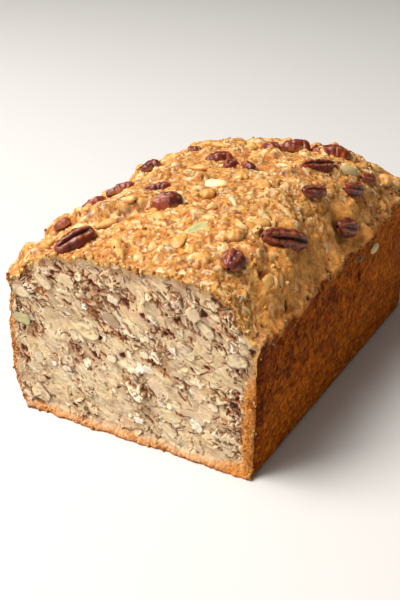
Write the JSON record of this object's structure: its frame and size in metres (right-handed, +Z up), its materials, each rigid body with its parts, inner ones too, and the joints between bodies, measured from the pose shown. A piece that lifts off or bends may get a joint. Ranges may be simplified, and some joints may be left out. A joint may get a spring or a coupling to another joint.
{
  "type": "nut and seed loaf",
  "caption": "Tin-baked buckwheat loaf with a crowned, lumpy golden crust, seeds and pecan halves on top, and one end cut flat to show the flaky crumb.",
  "frame": {"origin": "middle of the flat base, straight under the middle of the object's box", "axes": "+Z up, +Y along the loaf from the cut face to the rounded baked end, +X across it towards the side that the picture shows"},
  "size_m": [0.1174, 0.1686, 0.0885],
  "materials": {
    "golden_crust": "matte, rough baked crust",
    "toasted_pecan": "satin, oily toasted nut"
  },
  "bodies": {
    "root": {"loaf": "golden_crust", "pecan_01": "toasted_pecan", "pecan_02": "toasted_pecan", "pecan_03": "toasted_pecan", "pecan_04": "toasted_pecan", "pecan_05": "toasted_pecan", "pecan_06": "toasted_pecan", "pecan_07": "toasted_pecan", "pecan_08": "toasted_pecan", "pecan_09": "toasted_pecan", "pecan_10": "toasted_pecan", "pecan_11": "toasted_pecan", "pecan_12": "toasted_pecan", "pecan_13": "toasted_pecan", "pecan_14": "toasted_pecan", "pecan_15": "toasted_pecan", "pecan_16": "toasted_pecan", "pecan_17": "toasted_pecan", "pecan_18": "toasted_pecan", "pecan_19": "toasted_pecan", "pecan_20": "toasted_pecan", "pecan_21": "toasted_pecan"}
  },
  "joints": []
}
